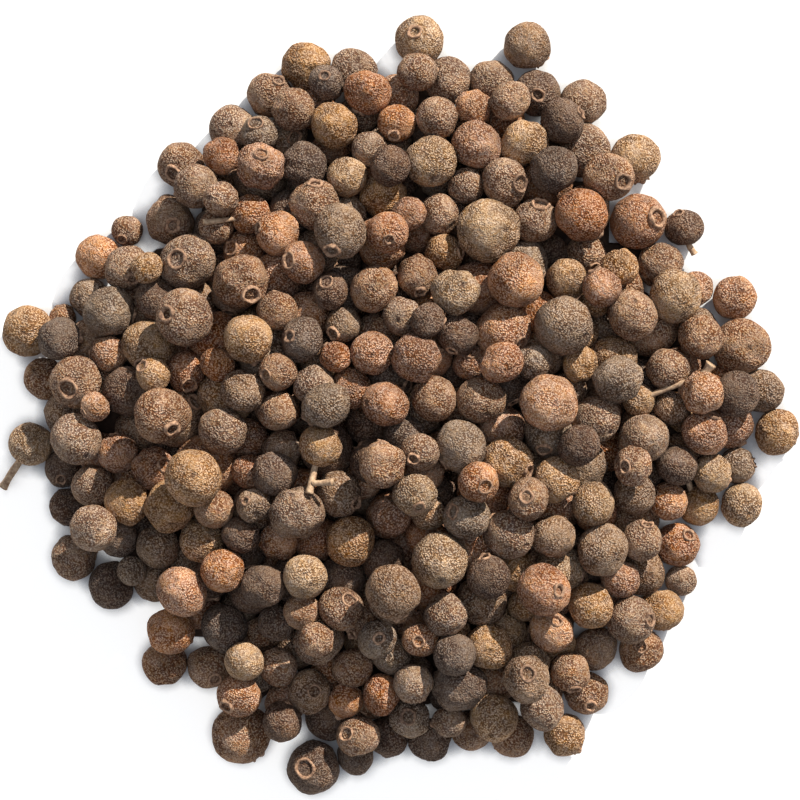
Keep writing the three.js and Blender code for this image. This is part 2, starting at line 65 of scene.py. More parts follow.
# berries that lie on top, quarter by quarter, told in the same way
topBerries = [
    # back left
    (-16, 36.5, 6.0, "grey", 1.5, -0.4), (-9, 37.5, 6.6, "tan"), (-19, 32, 6.3, "chestnut", 0.3, 1.5),
    (-27.5, 29.5, 6.1, "umber"), (-13, 32, 6.3, "cocoa"), (-7, 30.5, 5.5, "tan"),
    (-3, 28, 6.1, "tan"), (-1, 37.5, 5.2, "russet", -0.4, -2), (-29, 18.5, 7.5, "umber", -1.4, 0.3),
    (-37, 17.5, 6.3, "umber", 0.7, -1.7), (-21, 16, 7.1, "umber", 1.5, -1.9),
    (-29, 11, 7.3, "umber", -2.1, 0.4), (-40, 11, 6.9, "grey"), (-40.5, 7, 4.9, "russet"),
    (-44, 2.5, 6.9, "umber", -0.8, -1), (-33.5, 3.5, 4.6, "tan", -1.4, 1.1),
    (-28.5, 4, 5.4, "chestnut", 0.7, -1.9), (-20, 8, 6.6, "tan"), (-16.5, 12, 5.1, "umber"),
    (-8.5, 10.5, 5.2, "grey", -1.4, -1.2), (-16.5, 22.5, 6.2, "russet", -2.7, 0.5),
    (-11.5, 26, 6.5, "umber", 0, 2.8), (-8, 23, 7.0, "grey", -1.1, -2.6), (-3.5, 15, 6.0, "umber"),
    (-9.5, 14.5, 5.0, "cocoa", -0.4, 1.3), (-2, 22.5, 5.7, "chestnut", 0.3, -1.1),
    (-4, 6, 5.9, "chestnut"), (-16.5, 4, 5.1, "umber", -1.5, -0.5), (-21.5, 1, 5.8, "grey"),
    (-11.5, 2.5, 5.4, "umber"), (-20, 25, 5.5, "russet"),
    # back right
    (10.5, 40, 5.2, "russet"), (5, 38.5, 6.0, "umber"), (4.5, 32.5, 6.7, "tan"), (17, 35, 6.5, "tan"),
    (28.5, 30.5, 6.8, "umber", 1.6, -0.8), (21, 31.5, 6.2, "cocoa"), (14, 29.5, 6.4, "umber", 2.2, -0.3),
    (5.5, 25.5, 5.6, "umber"), (18.5, 24, 6.0, "umber", 0.6, 2.2), (12.5, 23, 8.5, "tan"),
    (24.5, 25.5, 7.1, "chestnut"), (6, 20, 5.3, "tan", 2.4, 0), (2.5, 17, 5.8, "umber", 0.3, -2.2),
    (7.5, 14.5, 6.2, "tan"), (15.5, 16.5, 7.5, "russet"), (25.5, 19, 5.5, "umber", 1, -1.8),
    (22.5, 16, 5.7, "tan"), (30, 18, 5.1, "tan"), (38, 14, 7.2, "tan"), (31.5, 11.5, 6.9, "umber"),
    (22, 10, 7.9, "grey"), (14, 9, 7.7, "russet", 2.2, -2.1), (2, 5.5, 6.2, "chestnut"),
    (10, 4.5, 5.2, "chestnut", 0, 1.7), (18, 5.5, 4.8, "grey"), (24, 5, 4.9, "tan"),
    (29.5, 3, 6.5, "grey"), (10.5, 0.5, 6.7, "umber"), (20, -0.5, 7.4, "russet"), (33, 0, 4.6, "tan"),
    (41, 9, 6.2, "umber"), (37, 4, 6.0, "umber"),
    # front left, the lower ones first
    (-18.5, -25, 6.0, "cocoa"), (-27, -19, 6.4, "tan"), (-22, -18.5, 5.0, "cocoa"),
    (-16.5, -19, 5.8, "russet"), (-25, -15, 5.3, "umber"), (-31, -14, 6.6, "tan"),
    (-18.5, -32.5, 5.0, "umber"), (-16.5, -30.5, 5.2, "cocoa"), (-13.5, -29, 4.8, "umber"),
    (-11.5, -32, 4.8, "umber"), (-38.5, -18.5, 5.4, "cocoa"), (-16, -44, 5.4, "cocoa"),
    (-44, -5, 7.1, "umber"), (-38.5, -7, 5.2, "chestnut"), (-32, -2, 7.6, "umber", 1.7, -2),
    (-24, -4, 6.6, "umber"), (-16.5, -6.5, 5.4, "umber"), (-10, -1, 6.0, "grey"), (-10.5, -6, 5.8, "tan"),
    (-2, -8.5, 6.0, "umber"), (-27.5, -10.5, 7.7, "tan"), (-20.5, -10, 4.7, "chestnut", 0.4, -1.4),
    (-42, -11.5, 5.8, "umber"), (-37.5, -14, 6.0, "tan"), (-20, -15, 4.7, "grey", -1.1, 0.7),
    (-14, -15.5, 7.0, "umber"), (-1, -15.5, 5.4, "chestnut"), (-6.5, -19.5, 6.7, "tan"),
    (-33.5, -20, 5.8, "grey"), (-24, -22.5, 6.0, "russet"), (-13, -24, 6.0, "tan"),
    (-28.5, -25.5, 6.6, "chestnut"), (-1, -25.5, 7.3, "grey"), (-23.5, -31, 6.3, "cocoa"),
    (-31.5, -31.5, 6.5, "russet"), (-3, -32, 5.1, "grey", 0.3, 0.3), (-6.5, -36.5, 5.2, "umber"),
    (-16.5, -36.5, 5.3, "umber"), (-22, -40.5, 6.2, "russet", -1.8, -1.3),
    (-6, -46, 5.8, "umber", -1.8, 0.6), (-16.5, -1.5, 5.2, "umber"), (-41.5, -17.5, 6.3, "umber"),
    # front right
    (25.5, -2.5, 6.5, "umber"), (33.5, -5.5, 6.8, "umber"), (2.5, -7, 5.0, "umber", -0.8, -0.8),
    (14, -8.5, 7.0, "tan", 2.9, -1.3), (21.5, -11, 6.5, "tan"), (37, -13.5, 5.6, "russet"),
    (31.5, -8.5, 5.3, "umber", -1.4, -0.3), (31.5, -13, 5.7, "grey"), (26, -14.5, 5.6, "tan"),
    (3.5, -15.5, 4.8, "tan"), (9.5, -15.5, 6.2, "grey", -2.1, 0.8), (14.5, -18, 6.5, "umber"),
    (27.5, -20, 7.4, "grey"), (33, -19, 5.5, "umber", 0.6, 2.2), (5.5, -21.5, 7.5, "tan"),
    (19.5, -25.5, 7.4, "chestnut", 2.2, 0.1), (26, -28, 6.2, "tan"), (6.5, -29, 5.9, "umber"),
    (12, -33, 6.2, "tan"), (3, -32.5, 4.9, "russet", -0.3, 0), (17, -37.5, 6.3, "grey", 0.2, 0.9),
    (12.5, -43, 6.3, "tan"), (19.5, -42, 5.9, "umber"),
]

pour = {
    "meanRadius": 3.25, "radiusSpread": 0.7,
    "heapTop": 20, "edgeTop": 10, "meanSlope": 0.5, "slopeChange": 0.28, "slopeTurn": (0.5, 0.866),
    "heapRadius": 56,
    "seed": 7, "drops": 900, "picks": 4, "givesUpAfter": 80, "edgeGap": 0.6,
    "bedDepth": 4.2, "coverShare": 0.62, "rollStep": 1.2, "smallestRoll": 0.04,
    "edgeSteps": 40,
    "sink": 0.08, "drawIn": 0.0006, "spring": 0.15, "shakes": 120, "lastShakes": 12, "rounds": 3,
    "pairsEvery": 10, "pairSlack": 1.2, "sweeps": 3, "nearReach": 9.5, "nearLasts": 1,
    "gapRadius": 2.7, "gapTries": 6000, "gapRise": 2, "gapCoverShare": 0.5, "gapRounds": 2,
}
drawn = pour["seed"]
diagonal = math.sqrt(0.5)
compass = [(1, 0), (diagonal, diagonal), (0, 1), (-diagonal, diagonal),
           (-1, 0), (-diagonal, -diagonal), (0, -1), (diagonal, -diagonal)]
heap = []
outline = []


# how a berry is held: free to move, sprung to its told place on top, or fixed at the edge
loose, sprung, fixed = range(3)


class Berry:
    __slots__ = ("x", "y", "z", "r", "hold", "homeX", "homeY", "told")

    def __init__(self, x, y, z, r, hold=loose, told=()):
        self.x, self.y, self.z, self.r = x, y, z, r
        self.hold = hold
        self.homeX, self.homeY = x, y
        self.told = told        # its skin and calyx place, if they are given above


def draw():
    global drawn
    drawn = (drawn * 48271) % 2147483647
    return drawn / 2147483647


def depthInside(x, y):        # how deep a point lies inside the edge berries' outline
    inside = False
    nearest = math.inf
    ax, ay = outline[-1]
    for bx, by in outline:
        if (ay > y) != (by > y) and x < (bx - ax) * (y - ay) / (by - ay) + ax:
            inside = not inside
        ex = bx - ax
        ey = by - ay
        along = max(0, min(1, ((x - ax) * ex + (y - ay) * ey) / (ex * ex + ey * ey)))
        gapX = ax + along * ex - x
        gapY = ay + along * ey - y
        nearest = min(nearest, gapX * gapX + gapY * gapY)
        ax, ay = bx, by
    return math.sqrt(nearest) if inside else -math.sqrt(nearest)


def heapHeight(x, y, depth):
    turn = (pour["slopeTurn"][0] * x + pour["slopeTurn"][1] * y) / pour["heapRadius"]
    return min(pour["heapTop"], pour["edgeTop"] + (pour["meanSlope"] - pour["slopeChange"] * turn) * depth)


def restHeight(near, x, y, r):
    height = r
    for other in near:
        reach = other.r + r
        dx = other.x - x
        dy = other.y - y
        left = reach * reach - dx * dx - dy * dy
        if left > 0:
            height = max(height, other.z + math.sqrt(left))
    return height


def berriesNear(x, y, reach):
    return [b for b in heap if abs(b.x - x) < reach and abs(b.y - y) < reach]


def rollDown(x, y, r):        # downhill into a hollow
    near = berriesNear(x, y, pour["nearReach"])
    nearX, nearY = x, y
    z = restHeight(near, x, y, r)
    step = pour["rollStep"]
    while step > pour["smallestRoll"] and z > r:
        if abs(x - nearX) > pour["nearLasts"] or abs(y - nearY) > pour["nearLasts"]:
            near = berriesNear(x, y, pour["nearReach"] + pour["nearLasts"])
            nearX, nearY = x, y
        lowest, lowestX, lowestY = z, x, y
        for turnX, turnY in compass:
            tryX = x + turnX * step
            tryY = y + turnY * step
            tryZ = restHeight(near, tryX, tryY, r)
            if tryZ < lowest - 1e-9:
                lowest, lowestX, lowestY = tryZ, tryX, tryY
        if lowest < z:
            x, y, z = lowestX, lowestY, lowest
        else:
            step /= 2
    return Berry(x, y, z, r)


def hidesPlaced(berry, share):
    for other in heap:
        if other.hold != loose and berry.z > other.z:
            reach = (other.r + berry.r) * share
            dx = other.x - berry.x
            dy = other.y - berry.y
            if dx * dx + dy * dy < reach * reach:
                return True
    return False


def pourIn(below):        # drops berries, the deepest-lying of a few each time, up to the heap's height
    failed = 0
    for _ in range(pour["drops"]):
        r = pour["meanRadius"] + (draw() + draw() + draw() - 1.5) * pour["radiusSpread"]
        best = None
        pick = 0
        while pick < pour["picks"]:
            x = (draw() * 2 - 1) * pour["heapRadius"]
            y = (draw() * 2 - 1) * pour["heapRadius"]
            if depthInside(x, y) < pour["edgeGap"]:
                continue
            pick += 1
            berry = rollDown(x, y, r)
            depth = depthInside(berry.x, berry.y)
            if depth < pour["edgeGap"]:
                continue
            if berry.z + r > heapHeight(berry.x, berry.y, depth) - below:
                continue
            if hidesPlaced(berry, pour["coverShare"]):
                continue
            if best is None or berry.z < best.z:
                best = berry
        if best:
            heap.append(best)
        else:
            failed += 1
            if failed > pour["givesUpAfter"]:
                break


def closeGaps():        # smaller berries over the gaps that go down to the surface
    for _ in range(pour["gapTries"]):
        r = pour["gapRadius"] + (draw() + draw() + draw() - 1.5) * pour["radiusSpread"]
        x = (draw() * 2 - 1) * pour["heapRadius"]
        y = (draw() * 2 - 1) * pour["heapRadius"]
        if depthInside(x, y) < pour["edgeGap"]:
            continue
        if restHeight(berriesNear(x, y, 5), x, y, 0) > 0:
            continue
        berry = rollDown(x, y, r)
        depth = depthInside(berry.x, berry.y)
        if depth < pour["edgeGap"]:
            continue
        if berry.z + r > heapHeight(berry.x, berry.y, depth) + pour["gapRise"]:
            continue
        goneX = berry.x - x
        goneY = berry.y - y
        if goneX * goneX + goneY * goneY > r * r:
            continue
        if hidesPlaced(berry, pour["gapCoverShare"]):
            continue
        heap.append(berry)


def touchingPairs():
    pairs = []
    for i, a in enumerate(heap):
        for j in range(i):
            b = heap[j]
            if a.hold == fixed and b.hold == fixed:
                continue
            reach = a.r + b.r + pour["pairSlack"]
            dx = a.x - b.x
            if dx > reach or dx < -reach:
                continue
            dy = a.y - b.y
            dz = a.z - b.z
            if dx * dx + dy * dy + dz * dz < reach * reach:
                pairs.append((a, b, a.r + b.r))
    return pairs


def pushApart(a, b, reach):        # half each, or all of it if one is an edge berry
    dx = a.x - b.x
    dy = a.y - b.y
    dz = a.z - b.z
    square = dx * dx + dy * dy + dz * dz
    if square >= reach * reach:
        return
    apart = math.sqrt(square)
    push = (reach - apart) / apart
    shareA, shareB = 0.5, 0.5
    if a.hold == fixed:
        shareA, shareB = 0, 1
    elif b.hold == fixed:
        shareA, shareB = 1, 0
    if a.hold != fixed:
        a.x += dx * push * shareA
        a.y += dy * push * shareA
        a.z += dz * push * shareA
    if b.hold != fixed:
        b.x -= dx * push * shareB
        b.y -= dy * push * shareB
        b.z -= dz * push * shareB


def shakeDown(steps, fall, inward):
    pairs = []
    for step in range(steps):
        if step % pour["pairsEvery"] == 0:
            pairs = touchingPairs()
        for b in heap:
            if b.hold == fixed:
                continue
            b.z -= fall
            if b.hold == sprung:
                b.x += pour["spring"] * (b.homeX - b.x)
                b.y += pour["spring"] * (b.homeY - b.y)
            else:
                b.x -= inward * b.x
                b.y -= inward * b.y
        for _ in range(pour["sweeps"]):
            for a, b, reach in pairs:
                pushApart(a, b, reach)
            for b in heap:
                if b.z < b.r:
                    b.z = b.r


def layEdge():        # on the surface, moved apart along it where two would run into each other
    for x, y, diameter, *told in edgeBerries:
        heap.append(Berry(x, y, diameter / 2, diameter / 2, fixed, told))
    for _ in range(pour["edgeSteps"]):
        for i, a in enumerate(heap):
            for j in range(i):
                b = heap[j]
                dx = a.x - b.x
                dy = a.y - b.y
                apart = math.sqrt(dx * dx + dy * dy)
                reach = 2 * math.sqrt(a.r * b.r)
                if apart >= reach:
                    continue
                push = (reach - apart) / apart / 2
                a.x += dx * push
                a.y += dy * push
                b.x -= dx * push
                b.y -= dy * push


def pourHeap():
    layEdge()
    outline.extend((b.x, b.y) for b in heap)
    outline.sort(key=lambda point: math.atan2(point[1], point[0]))
    pourIn(pour["bedDepth"])
    shakeDown(pour["shakes"] // 2, pour["sink"], pour["drawIn"])
    for x, y, diameter, *told in topBerries:
        r = diameter / 2
        heap.append(Berry(x, y, restHeight(heap, x, y, r), r, sprung, told))
    shakeDown(pour["shakes"], pour["sink"], pour["drawIn"])
    for _ in range(pour["rounds"]):
        pourIn(0)
        shakeDown(pour["shakes"], pour["sink"], pour["drawIn"])
    for _ in range(pour["gapRounds"]):
        closeGaps()
        shakeDown(pour["shakes"] // 2, pour["sink"], pour["drawIn"])
    shakeDown(pour["lastShakes"], 0, 0)


pourHeap()
print("heap poured:", len(heap), "berries")


# the berries' shape

# skins, each a piece of its own: how often a loose berry has it
skinShares = {"umber": 0.2, "chestnut": 0.18, "cocoa": 0.26, "grey": 0.18, "russet": 0.1, "tan": 0.08}

berryShape = {
    "around": 32, "aroundHidden": 16,        # faces round a berry that shows, and round a buried one
    "rings": 18, "ringsHidden": 9,           # rings of them from its calyx to its stalk end
    "swell": 1.02,                           # the berries lie pressed into each other by this much
    "squash": (0.90, 1.04),                  # length along its axis over its width
    "oval": 0.04,                            # how far its width differs from one side to the other
    "lump": 0.024, "lumpCount": 5,           # broad unevenness, as a share of the radius
    "wrinkle": 0.007, "wrinkleCount": 8,
    "pimple": 0.006,                         # how far single points stand out or in
    "dents": (1, 5), "dentWide": (0.22, 0.55), "dentDeep": (0.012, 0.05),
    "shrunken": 0.14, "shrunkenMore": 2.6,   # berries that dried wrinkled, and how much more
    "flat": (0.86, 0.97), "flatCount": 3,    # shallow flats where it dried against its neighbours
    "calyxShare": 0.72,                      # berries that still have their calyx
    "calyxWidth": (0.21, 0.35),              # the ring's radius over the berry's
    "cupDepth": (0.03, 0.085),
    "dimple": 0.05,                          # how deep the stalk end's scar lies
    "pear": 0.06,                            # how far the stalk end may be drawn out
    "tone": (0.91, 1.09),                    # how much lighter or darker a whole berry is
}

luck = np.random.default_rng(11)        # shapes and tones, apart from the pouring's own draws


def anyAngle():
    return luck.uniform(0, 6.28)


def unitVector():
    v = luck.normal(size=3)
    return v / np.linalg.norm(v)


def turnTo(direction, spin):        # a rotation that takes +Z to direction, after a spin about it
    z = np.array(direction, float)
    z /= np.linalg.norm(z)
    side = np.array([1.0, 0, 0]) if abs(z[0]) < 0.8 else np.array([0, 1.0, 0])
    x = np.cross(side, z)
    x /= np.linalg.norm(x)
    y = np.cross(z, x)
    c, s = math.cos(spin), math.sin(spin)
    return np.stack([c * x + s * y, -s * x + c * y, z], axis=1)


def unevenness():        # one berry's own lumps, wrinkles, dents and flats, as numbers for shapeBerry
    own = {"waves": [], "dents": [], "flats": []}
    shrunken = luck.uniform() < berryShape["shrunken"]
    more = berryShape["shrunkenMore"] if shrunken else 1.0
    for count, size, low, high in ((berryShape["lumpCount"], berryShape["lump"], 1.2, 3.2),
                                   (berryShape["wrinkleCount"], berryShape["wrinkle"] * more, 5, 11)):
        for _ in range(count):
            own["waves"].append((unitVector() * luck.uniform(low, high), anyAngle(), size))
    for _ in range(luck.integers(*berryShape["dents"])):
        own["dents"].append((unitVector(), luck.uniform(*berryShape["dentWide"]),
                             luck.uniform(*berryShape["dentDeep"])))
    for _ in range(berryShape["flatCount"]):
        own["flats"].append((unitVector(), luck.uniform(*berryShape["flat"])))
    own["squash"] = luck.uniform(*berryShape["squash"])
    own["oval"] = 1 + luck.uniform(-1, 1) * berryShape["oval"]
    own["pear"] = max(0, luck.normal(0, berryShape["pear"]))
    own["calyx"] = luck.uniform(*berryShape["calyxWidth"])
    own["cup"] = luck.uniform(*berryShape["cupDepth"])
    return own


def shapeBerry(points, own):        # points about a unit ball, pushed into the berry's uneven form
    lengths = np.linalg.norm(points, axis=1, keepdims=True)
    ways = points / np.maximum(lengths, 1e-9)
    factor = np.ones(len(points))
    for wave, phase, size in own["waves"]:
        factor += size * np.sin(ways @ wave + phase)
    for way, wide, deep in own["dents"]:
        factor -= deep * np.exp(-(1 - ways @ way) * 2 / wide ** 2)
    for way, cut in own["flats"]:
        factor -= np.maximum(0, ways @ way - cut) * 0.9
    factor += own["pear"] * np.maximum(0, -ways[:, 2]) ** 4        # drawn out at the stalk end
    shaped = points * factor[:, None]
    shaped[:, 0] *= own["oval"]
    shaped[:, 1] /= own["oval"]
    shaped[:, 2] *= own["squash"]
    return shaped


def latheFaces(rows, around):
    faces = []
    for row in range(rows - 1):
        for k in range(around):
            n = (k + 1) % around
            faces.append((row * around + k, (row + 1) * around + k,
                          (row + 1) * around + n, row * around + n))
    return faces


def berryProfile(own, rings, hasCalyx):        # distance from the axis, height and mark, calyx end first
    w = own["calyx"]
    if hasCalyx:
        depth = own["cup"]
        foot = math.sqrt(1 - w * w)        # the cup's floor lies below its rim, with the style's scar in it
        profile = [(0.0, foot - depth * 1.1, 0.9), (w * 0.08, foot - depth * 0.95, 0.7),
                   (w * 0.17, foot - depth * 0.55, 0.1), (w * 0.45, foot - depth * 0.85, 0.12),
                   (w * 0.78, foot - depth * 0.8, 0.4), (w * 0.9, foot - depth * 0.2, 0.3),
                   (w * 1.0, foot + 0.012, 0.2),
                   (w * 1.16, math.sqrt(1 - 1.35 * w * w) + 0.006, 0.1)]
    else:
        profile = [(0.0, 1 - 0.05, 0.5), (w * 0.35, 1 - 0.045, 0.45), (w * 0.6, 1 - 0.02, 0.25),
                   (w * 1.0, math.sqrt(1 - w * w), 0.06)]
    start = math.asin(w * (1.42 if hasCalyx else 1.3))
    end = math.pi - 0.2
    for k in range(rings):
        angle = start + (end - start) * k / (rings - 1)
        profile.append((math.sin(angle), math.cos(angle), 0.0))
    profile.append((0.11, -0.985, 0.15))
    profile.append((0.06, -1 + berryShape["dimple"], 0.5))
    return profile


def berryMesh(berry, own, turn, hasCalyx, hidden):
    around = berryShape["aroundHidden" if hidden else "around"]
    rings = berryShape["ringsHidden" if hidden else "rings"]
    profile = berryProfile(own, rings, hasCalyx)
    angles = np.arange(around) * 2 * math.pi / around
    points = []
    marks = []
    for out, up, mark in profile[1:]:
        points.append(np.stack([out * np.cos(angles), out * np.sin(angles), np.full(around, up)], axis=1))
        marks += [mark] * around
    rows = len(profile) - 1
    points.append(np.array([[0, 0, profile[0][1]], [0, 0, -1 + berryShape["dimple"]]]))
    marks += [profile[0][2], 0.6]
    faces = latheFaces(rows, around)
    top, bottom = rows * around, rows * around + 1
    for k in range(around):
        n = (k + 1) % around
        faces.append((top, k, n))
        faces.append((bottom, (rows - 1) * around + n, (rows - 1) * around + k))
    shaped = shapeBerry(np.concatenate(points), own) * berry.r * berryShape["swell"]
    shaped *= 1 + luck.normal(0, berryShape["pimple"], (len(shaped), 1))
    placed = shaped @ turn.T + np.array([berry.x, berry.y, berry.z])
    placed[:, 2] = np.maximum(placed[:, 2], 0)        # a flat spot where it lies on the surface
    return placed * mm, faces, marks


calyxShape = {
    "around": 28, "lobes": 4,
    "height": (0.06, 0.14),        # over the berry's radius
    "wall": 0.072, "flare": (0.0, 0.10),
    "waver": 0.22,                 # how far lobe height changes round the ring
    "tone": (0.6, 1.15),
}


def calyxMesh(berry, own, turn):        # the dry ring with four worn lobes, round the cup
    around = calyxShape["around"]
    angles = np.arange(around) * 2 * math.pi / around
    w = own["calyx"]
    height = luck.uniform(*calyxShape["height"])
    flare = luck.uniform(*calyxShape["flare"])
    phase = anyAngle()
    lobe = 0.5 + 0.5 * np.cos(calyxShape["lobes"] * angles + phase)
    worn = sum(luck.normal(0, calyxShape["waver"]) * np.cos(k * angles + anyAngle())
               for k in (1, 2, 3, 5))
    tall = height * np.clip(0.55 + 0.45 * lobe + 0.6 * worn, 0.25, 1.5)
    wide = w * (1 + 0.05 * np.cos(2 * angles + anyAngle()) + 0.05 * (lobe - 0.5))
    wall = calyxShape["wall"] * (0.8 + 0.4 * luck.uniform()) * (0.85 + 0.3 * lobe)
    foot = math.sqrt(1 - w * w)
    section = [        # out from the middle of the wall, up over the foot, as shares of wall and height
        (1.1, -0.5), (0.75, 0.35), (0.45, 0.85), (0.0, 1.0), (-0.45, 0.88), (-0.75, 0.3), (-0.9, -0.6),
    ]
    points = []
    for out, up in section:
        spread = wide + out * wall + flare * np.maximum(0, up) * tall / height * 0.5
        lift = foot + up * tall if up > 0 else np.full(around, foot + up * 0.06)
        points.append(np.stack([spread * np.cos(angles), spread * np.sin(angles),
                                lift * np.ones(around)], axis=1))
    rows = len(section)
    faces = latheFaces(rows, around)
    for k in range(around):        # closes the section under the berry's skin
        n = (k + 1) % around
        faces.append(((rows - 1) * around + k, k, n, (rows - 1) * around + n))
    faces = [face[::-1] for face in faces]
    shaped = shapeBerry(np.concatenate(points), own) * berry.r * berryShape["swell"]
    placed = shaped @ turn.T + np.array([berry.x, berry.y, berry.z])
    placed[:, 2] = np.maximum(placed[:, 2], 0)
    return placed * mm, faces, [0.0] * len(placed)


class Gather:        # many small meshes joined into one piece, with their tones as attributes
    def __init__(self, name, slot, material):
        self.name, self.slot, self.material = name, slot, material
        self.points, self.faces, self.values = [], [], []
        self.count = 0

    def add(self, points, faces, marks, tone, warmth):
        self.points.append(points)
        self.faces += [tuple(v + self.count for v in face) for face in faces]
        self.values.append(np.stack([np.array(marks, float), np.full(len(points), tone),
                                     np.full(len(points), warmth)], axis=1))
        self.count += len(points)

    def build(self):
        mesh = bpy.data.meshes.new(self.name)
        mesh.from_pydata(np.concatenate(self.points).tolist(), [], self.faces)
        values = np.concatenate(self.values)
        for column, attribute in enumerate(("mark", "tone", "warmth")):
            layer = mesh.attributes.new(attribute, "FLOAT", "POINT")
            layer.data.foreach_set("value", values[:, column].astype(np.float32))
        mesh.polygons.foreach_set("use_smooth", [True] * len(mesh.polygons))
        mesh.materials.append(self.material)
        mesh.update()
        piece = bpy.data.objects.new(self.name, mesh)
        bpy.context.scene.collection.objects.link(piece)
        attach(piece, "root")
        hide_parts("berry_heap")
        print(self.name, sum(len(face) - 2 for face in self.faces), "triangles")
        return piece


# finishes

def linear(hexColour):        # sRGB hex to linear, with alpha
    parts = [int(hexColour[k:k + 2], 16) / 255 for k in (1, 3, 5)]
    return tuple(c / 12.92 if c <= 0.04045 else ((c + 0.055) / 1.055) ** 2.4 for c in parts) + (1.0,)


def addNode(tree, kind, settings=None, links=None):
    node = tree.nodes.new(kind)
    for key, value in (settings or {}).items():
        if isinstance(key, str) and hasattr(node, key):
            setattr(node, key, value)
        else:
            node.inputs[key].default_value = value
    for key, source in (links or {}).items():
        tree.links.new(source, node.inputs[key])
    return node


def addRamp(tree, factor, stops):        # stops: place along the ramp, and the colour there
    ramp = addNode(tree, "ShaderNodeValToRGB", {}, {"Fac": factor})
    marks = ramp.color_ramp.elements
    for mark, (place, colour) in ((marks[0], stops[0]), (marks[1], stops[-1])):
        mark.position = place
        mark.color = linear(colour)
    for place, colour in stops[1:-1]:
        marks.new(place).color = linear(colour)
    return ramp.outputs["Color"]


def newMaterial(name, roughness, specular):
    material = bpy.data.materials.new(name)
    material.use_nodes = True
    tree = material.node_tree
    shader = tree.nodes["Principled BSDF"]
    shader.inputs["Roughness"].default_value = roughness
    shader.inputs["Specular IOR Level"].default_value = specular
    return material, tree, shader


skinGrain = {
    "pimple": 0.27,        # oil-gland pimples, mm apart
    "sand": 0.18,          # finer grains between them, mm; real ones are finer, this is what shows
    "patch": 3.4,          # mm across patches that dried lighter or darker
    "blush": 4.5,          # mm across redder and yellower patches
    "wrinkle": 0.9,        # mm between shallow drying wrinkles
    "height": 0.16,        # mm, of a pimple
}


